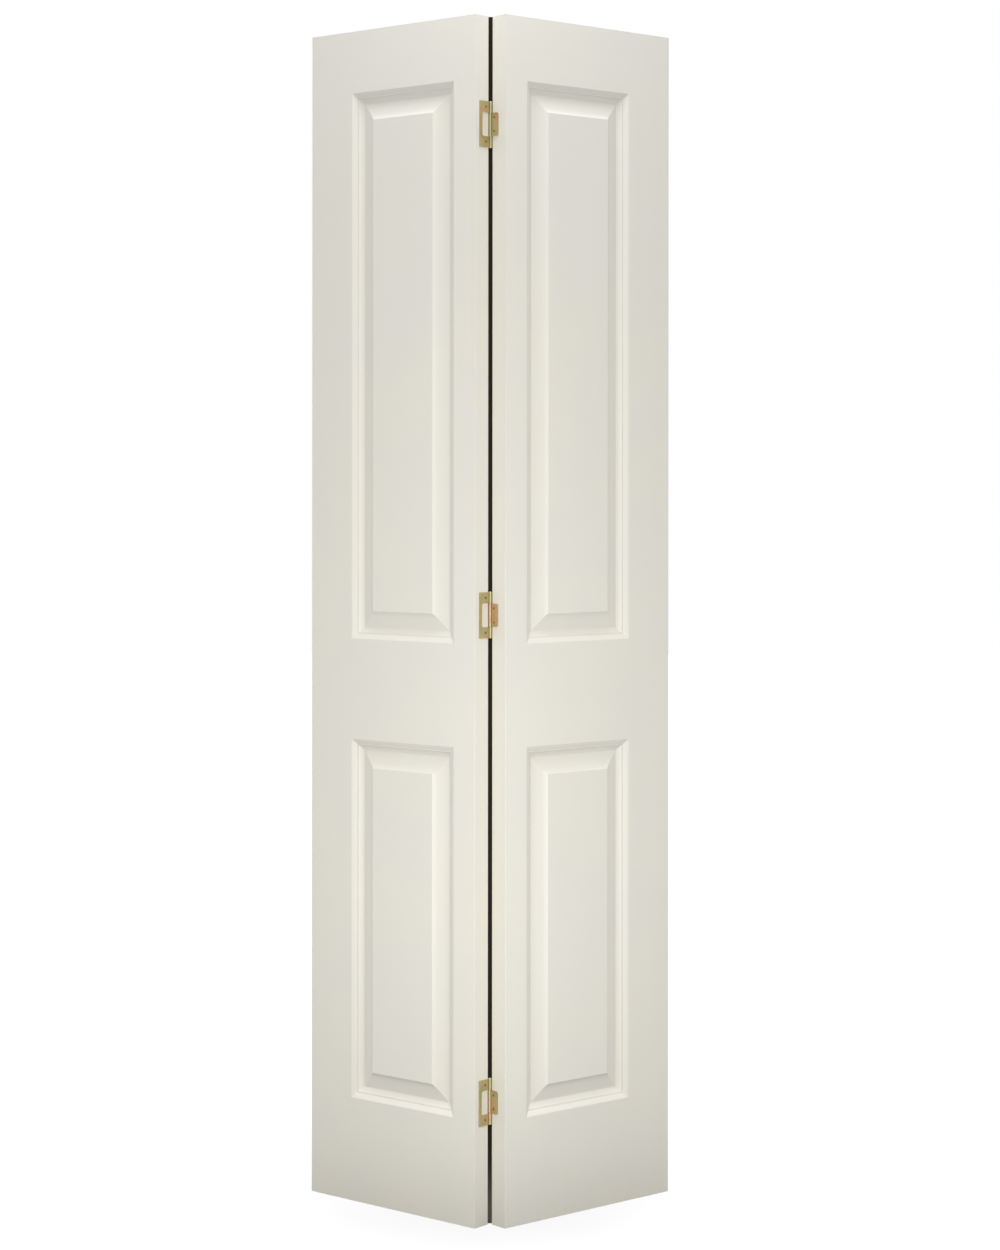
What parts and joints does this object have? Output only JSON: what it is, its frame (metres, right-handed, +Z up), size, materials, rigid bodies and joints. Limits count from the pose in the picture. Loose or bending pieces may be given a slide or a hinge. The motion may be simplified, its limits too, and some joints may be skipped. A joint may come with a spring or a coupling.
{
  "type": "bifold closet door",
  "caption": "Bifold closet door with raised moulded panels; its leaves stand half folded and are joined at their meeting edges by windowed non-mortise hinges.",
  "frame": {"origin": "on the floor, in the middle of the box round the half-folded door", "axes": "+Z up; the front faces look along -Y; +X runs from the left leaf to the right leaf as seen from the room"},
  "size_m": [0.62, 0.2664, 2.007],
  "materials": {
    "primed_facing": "moulded hardboard with off-white primer, satin",
    "pine": "softwood, primed where it shows",
    "paper_core": "kraft paper ribbon",
    "zinc_steel": "yellow-passivated zinc",
    "pin_steel": "bright zinc",
    "screw_steel": "yellow-passivated zinc"
  },
  "bodies": {
    "left_leaf": {"left_front_skin": "primed_facing", "left_back_skin": "primed_facing", "left_outer_stile": "pine", "left_meeting_stile": "pine", "left_top_rail": "pine", "left_mid_rail": "pine", "left_bottom_rail": "pine", "left_upper_core": "paper_core", "left_lower_core": "paper_core", "left_hinge_screws": "screw_steel", "top_hinge_frame_plate": "zinc_steel", "top_hinge_pin": "pin_steel", "middle_hinge_frame_plate": "zinc_steel", "middle_hinge_pin": "pin_steel", "bottom_hinge_frame_plate": "zinc_steel", "bottom_hinge_pin": "pin_steel"},
    "right_leaf": {"right_front_skin": "primed_facing", "right_back_skin": "primed_facing", "right_outer_stile": "pine", "right_meeting_stile": "pine", "right_top_rail": "pine", "right_mid_rail": "pine", "right_bottom_rail": "pine", "right_upper_core": "paper_core", "right_lower_core": "paper_core", "right_hinge_screws": "screw_steel", "top_hinge_small_plate": "zinc_steel", "middle_hinge_small_plate": "zinc_steel", "bottom_hinge_small_plate": "zinc_steel"}
  },
  "joints": [
    {"name": "fold", "type": "hinge", "parent": "left_leaf", "child": "right_leaf", "pos_m": [0, -0.10539, 1.0035], "axis": [0, 0, 1], "range_deg": [-80.4, 99.6]}
  ]
}
